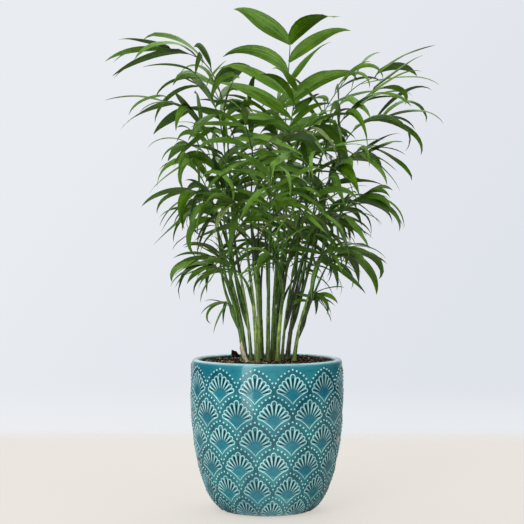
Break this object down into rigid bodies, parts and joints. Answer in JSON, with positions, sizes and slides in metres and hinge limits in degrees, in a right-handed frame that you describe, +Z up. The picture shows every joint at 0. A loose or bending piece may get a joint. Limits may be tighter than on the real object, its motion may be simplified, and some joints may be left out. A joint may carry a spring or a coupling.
{
  "type": "potted parlor palm",
  "caption": "Potted parlor palm: a clump of slender green stems with arching feather fronds, rooted in potting mix in a rounded glazed pot with an embossed fan pattern.",
  "frame": {"origin": "centre of the pot's flat underside, on the surface that it stands on", "axes": "+Z up along the pot's axis, +X to the viewer's right and -Y towards the viewer in the picture"},
  "size_m": [0.3891, 0.3221, 0.5921],
  "materials": {
    "glaze": "glossy teal glaze, paler on the raised lines",
    "potting_mix": "coarse, matt brown bark and peat",
    "stem": "smooth satin green",
    "frond": "satin mid to deep green"
  },
  "bodies": {
    "root": {"centre_frond": "frond", "high_frond_1": "frond", "high_frond_2": "frond", "high_frond_3": "frond", "high_frond_4": "frond", "high_frond_5": "frond", "high_frond_6": "frond", "left_foot_frond": "frond", "left_high_frond": "frond", "left_low_frond": "frond", "left_mid_frond": "frond", "left_small_frond": "frond", "left_tall_frond": "frond", "left_top_frond": "frond", "lower_frond_1": "frond", "lower_frond_2": "frond", "lower_frond_3": "frond", "lower_frond_4": "frond", "lower_frond_5": "frond", "lower_frond_6": "frond", "middle_frond_1": "frond", "middle_frond_2": "frond", "middle_frond_3": "frond", "middle_frond_4": "frond", "middle_frond_5": "frond", "middle_frond_6": "frond", "middle_frond_7": "frond", "pot": "glaze", "potting_mix": "potting_mix", "right_foot_frond": "frond", "right_high_frond": "frond", "right_low_frond": "frond", "right_mid_frond": "frond", "right_small_frond": "frond", "right_tall_frond": "frond", "right_top_frond": "frond", "stem_1": "stem", "stem_10": "stem", "stem_11": "stem", "stem_12": "stem", "stem_13": "stem", "stem_14": "stem", "stem_2": "stem", "stem_3": "stem", "stem_4": "stem", "stem_5": "stem", "stem_6": "stem", "stem_7": "stem", "stem_8": "stem", "stem_9": "stem", "top_frond": "frond", "upper_frond_1": "frond", "upper_frond_2": "frond", "upper_frond_3": "frond", "upper_frond_4": "frond", "upper_frond_5": "frond", "upper_frond_6": "frond", "upper_frond_7": "frond"}
  },
  "joints": []
}
